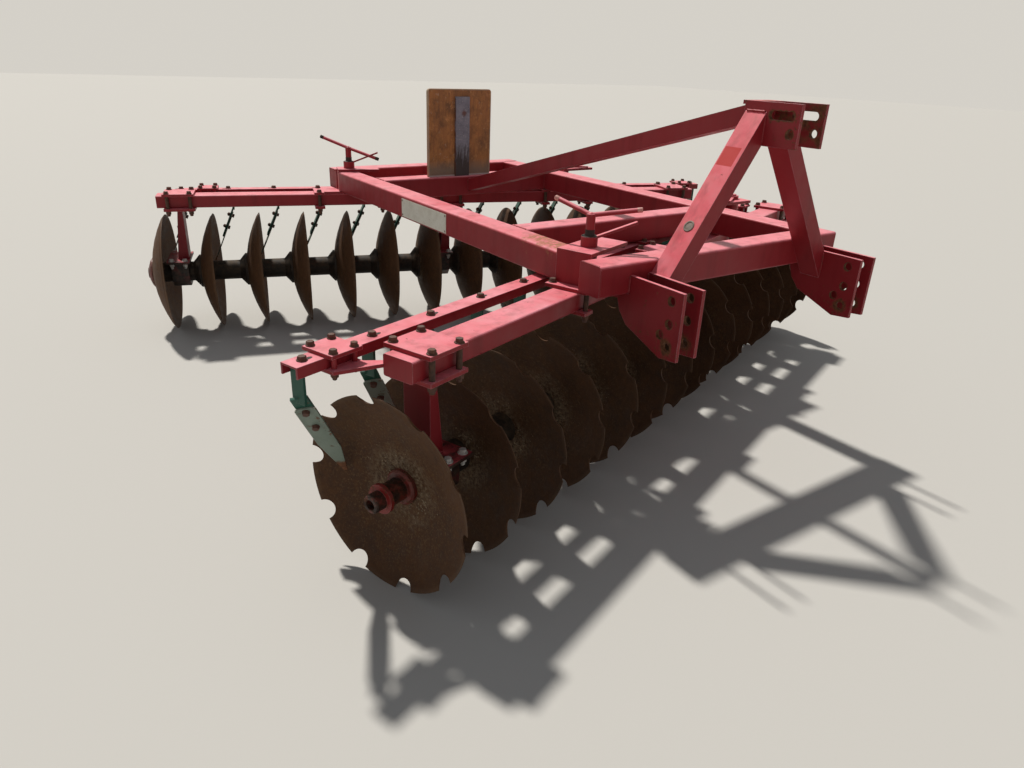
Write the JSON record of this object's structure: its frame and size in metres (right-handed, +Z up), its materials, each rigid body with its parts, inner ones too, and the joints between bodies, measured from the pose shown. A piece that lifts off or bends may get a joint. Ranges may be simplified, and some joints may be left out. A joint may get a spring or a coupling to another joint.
{
  "type": "disc harrow",
  "caption": "Offset disc harrow with a three-point headstock, a tube frame and two angled gangs of dished discs that turn on their axles, each with scrapers.",
  "frame": {"origin": "centre of the bounding box in plan, on the ground under the discs", "axes": "+X the machine's right and the long way of the gangs, +Y forward to the tractor, +Z up"},
  "size_m": [3.2036, 3.0771, 1.29],
  "materials": {
    "red_frame": "sun-faded red paint, rust at edges",
    "rusty_disc": "rust-brown steel, paler worn rim",
    "dusty_spool": "black cast iron, dusty",
    "axle_steel": "red paint worn to rust",
    "green_arm": "dark green paint",
    "blade_steel": "dull grey-green steel",
    "board_wood": "weathered orange-brown plywood",
    "post_paint": "grey, stained",
    "plate_blank": "blank off-white name plate"
  },
  "bodies": {
    "frame": {"rail_right": "red_frame", "rail_left": "red_frame", "crossbeam_front": "red_frame", "crossbeam_middle": "red_frame", "crossbeam_board": "red_frame", "crossbeam_rear": "red_frame", "headstock_leg_right": "red_frame", "headstock_leg_left": "red_frame", "headstock_cheeks": "red_frame", "headstock_stay": "red_frame", "hitch_fork_right": "red_frame", "hitch_fork_left": "red_frame", "pivot_front_right": "red_frame", "pivot_front_left": "red_frame", "pivot_rear_right": "red_frame", "pivot_rear_left": "red_frame", "pin_front_right": "red_frame", "pin_front_left": "red_frame", "pin_rear_right": "red_frame", "pin_rear_left": "red_frame", "front_beam": "red_frame", "rear_beam": "red_frame", "front_clamps": "red_frame", "rear_clamps": "red_frame", "front_feet": "red_frame", "rear_feet": "red_frame", "front_hanger_1": "red_frame", "front_hanger_2": "red_frame", "front_hanger_3": "red_frame", "rear_hanger_1": "red_frame", "rear_hanger_2": "red_frame", "rear_hanger_3": "red_frame", "front_scraper_bar": "red_frame", "rear_scraper_bar": "red_frame", "front_bar_mounts": "red_frame", "rear_bar_mounts": "red_frame", "front_scraper_arms": "green_arm", "rear_scraper_arms": "green_arm", "front_scraper_blades": "blade_steel", "rear_scraper_blades": "blade_steel", "board": "board_wood", "board_post": "post_paint", "name_plate": "plate_blank"},
    "front_gang": {"front_discs": "rusty_disc", "front_spools": "dusty_spool", "front_axle": "axle_steel"},
    "rear_gang": {"rear_discs": "rusty_disc", "rear_spools": "dusty_spool", "rear_axle": "axle_steel"}
  },
  "joints": [
    {"name": "front_gang_spin", "type": "hinge", "parent": "frame", "child": "front_gang", "pos_m": [1.30895, 1.23933, 0.29], "axis": [0.9403, 0.3404, 0], "continuous": true},
    {"name": "rear_gang_spin", "type": "hinge", "parent": "frame", "child": "rear_gang", "pos_m": [1.49595, -1.27867, 0.295], "axis": [0.9563, -0.2924, 0], "continuous": true}
  ]
}
